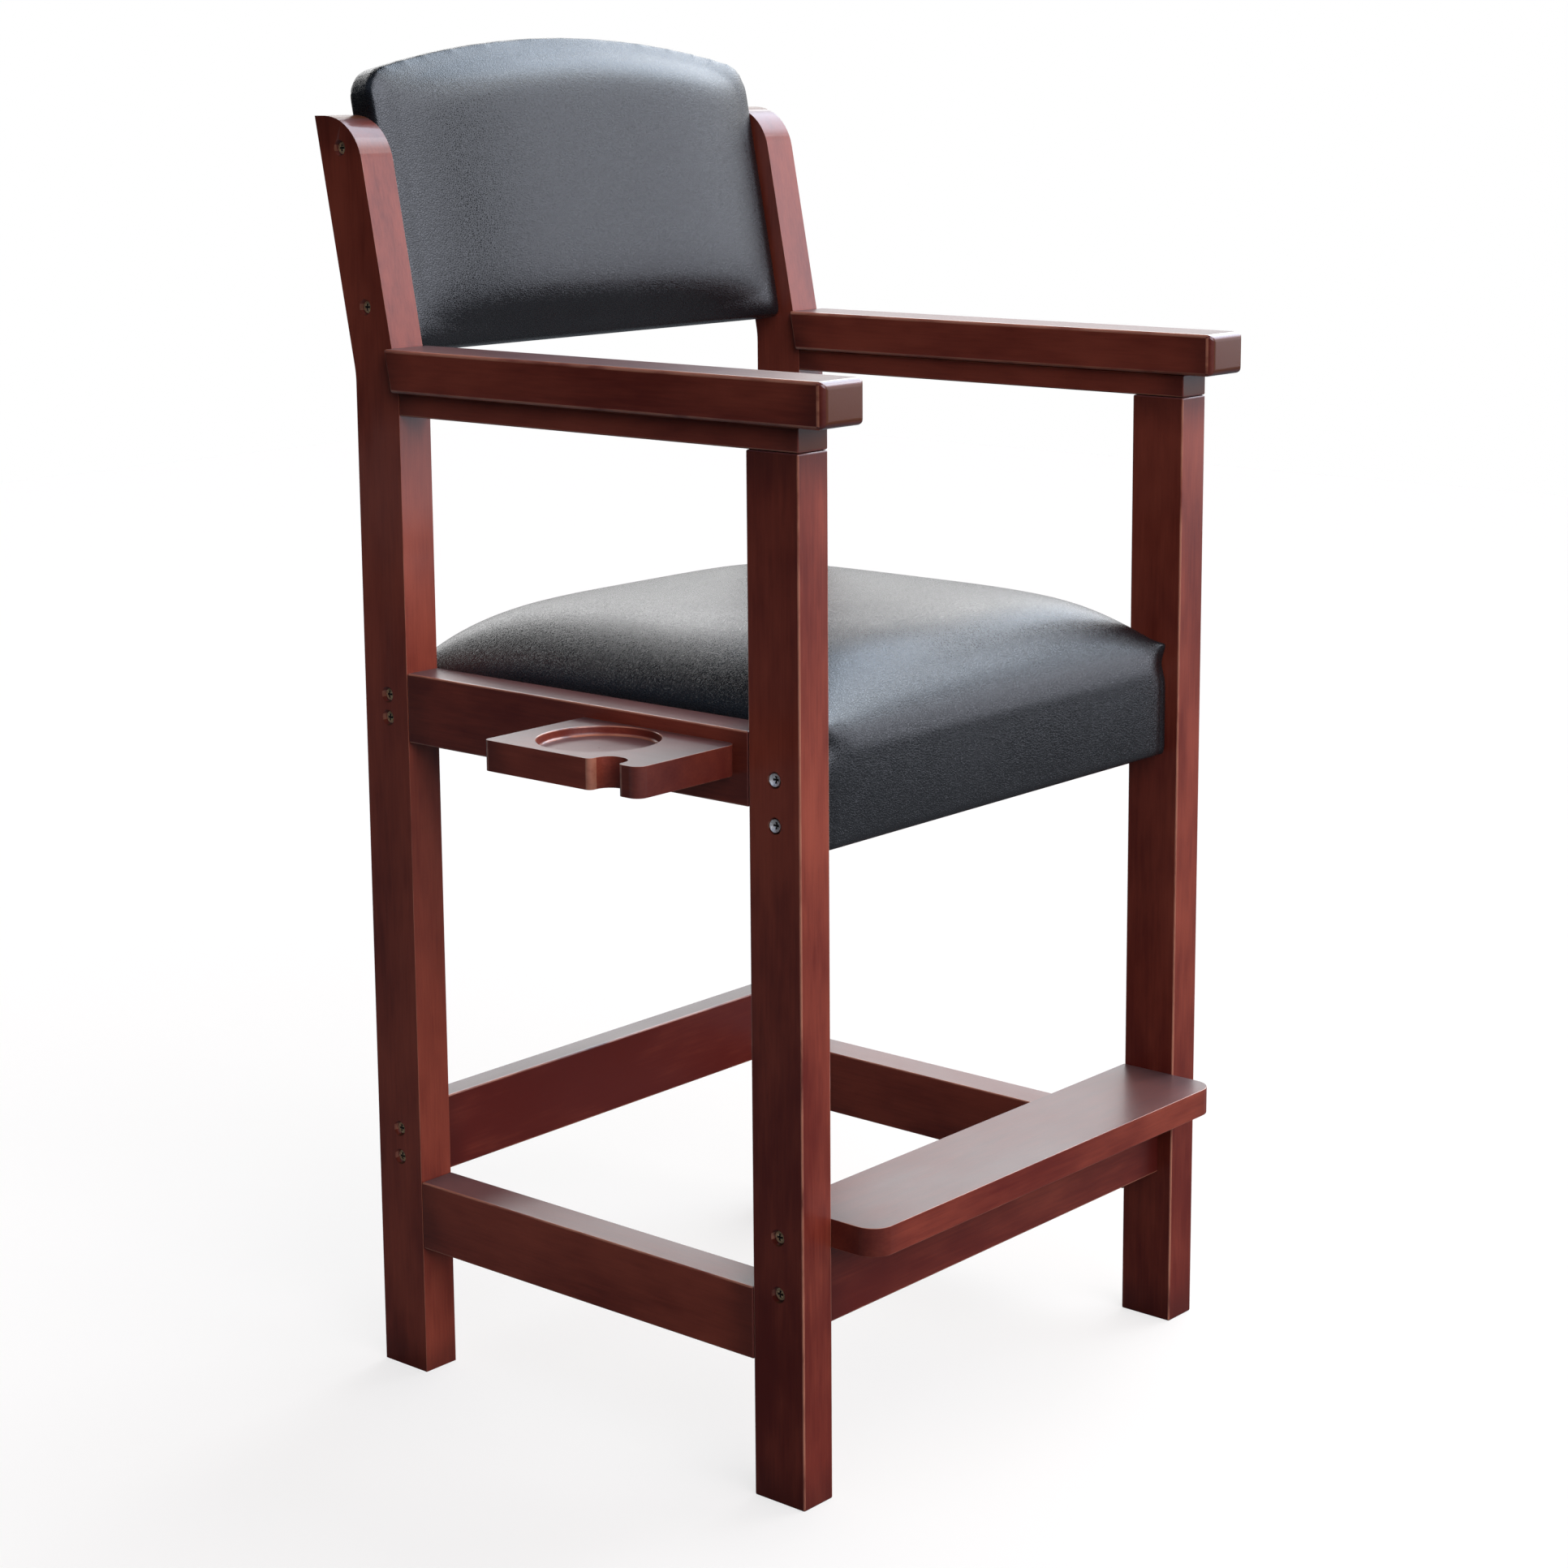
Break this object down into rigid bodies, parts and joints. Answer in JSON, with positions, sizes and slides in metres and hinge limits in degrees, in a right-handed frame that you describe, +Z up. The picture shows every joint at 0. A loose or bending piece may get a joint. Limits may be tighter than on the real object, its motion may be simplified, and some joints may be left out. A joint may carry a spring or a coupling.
{
  "type": "spectator chair",
  "caption": "Tall wooden armchair for watching a game, with a black vinyl seat and arched back, a footrest, and a side tray with a cup recess and a cue notch.",
  "frame": {"origin": "on the floor under the middle of the box round the whole chair", "axes": "+Z up, the sitter faces -Y, and the cup tray is on the sitter's right at -X"},
  "size_m": [0.7064, 0.6126, 1.218],
  "materials": {
    "cherry_wood": "dark cherry stain under satin lacquer",
    "plywood": "plain, hidden under the cover",
    "black_vinyl": "black vinyl with a fine leather grain and a satin sheen",
    "dust_cloth": "thin black cloth",
    "zinc_steel": "yellow zinc"
  },
  "bodies": {
    "root": {"rear_post_left": "cherry_wood", "rear_post_right": "cherry_wood", "front_leg_left": "cherry_wood", "front_leg_right": "cherry_wood", "side_stretcher_left": "cherry_wood", "side_stretcher_right": "cherry_wood", "seat_side_rail_left": "cherry_wood", "seat_side_rail_right": "cherry_wood", "arm_rail_left": "cherry_wood", "arm_rail_right": "cherry_wood", "armrest_left": "cherry_wood", "armrest_right": "cherry_wood", "rear_stretcher": "cherry_wood", "front_stretcher": "cherry_wood", "footrest_board": "cherry_wood", "cup_tray": "cherry_wood", "seat_front_board": "plywood", "seat_rear_board": "plywood", "seat_cross_side_left": "plywood", "seat_cross_side_right": "plywood", "seat_deck": "plywood", "back_board": "plywood", "seat_corner_block_1": "plywood", "seat_corner_block_2": "plywood", "seat_corner_block_3": "plywood", "seat_corner_block_4": "plywood", "seat_cushion": "black_vinyl", "back_cushion": "black_vinyl", "back_cover": "black_vinyl", "seat_dust_cover": "dust_cloth", "screw_left_1_back": "zinc_steel", "screw_left_2_back": "zinc_steel", "screw_left_3_seat_rear": "zinc_steel", "screw_left_4_seat_rear": "zinc_steel", "screw_left_5_rear_stretcher": "zinc_steel", "screw_left_6_rear_stretcher": "zinc_steel", "screw_left_7_seat_front": "zinc_steel", "screw_left_8_seat_front": "zinc_steel", "screw_left_9_footrest": "zinc_steel", "screw_left_10_front_stretcher": "zinc_steel", "arm_screw_left_1": "zinc_steel", "arm_screw_left_2": "zinc_steel", "screw_right_1_back": "zinc_steel", "screw_right_2_back": "zinc_steel", "screw_right_3_seat_rear": "zinc_steel", "screw_right_4_seat_rear": "zinc_steel", "screw_right_5_rear_stretcher": "zinc_steel", "screw_right_6_rear_stretcher": "zinc_steel", "screw_right_7_seat_front": "zinc_steel", "screw_right_8_seat_front": "zinc_steel", "screw_right_9_footrest": "zinc_steel", "screw_right_10_front_stretcher": "zinc_steel", "arm_screw_right_1": "zinc_steel", "arm_screw_right_2": "zinc_steel", "tray_screw_1": "zinc_steel", "tray_screw_2": "zinc_steel"}
  },
  "joints": []
}
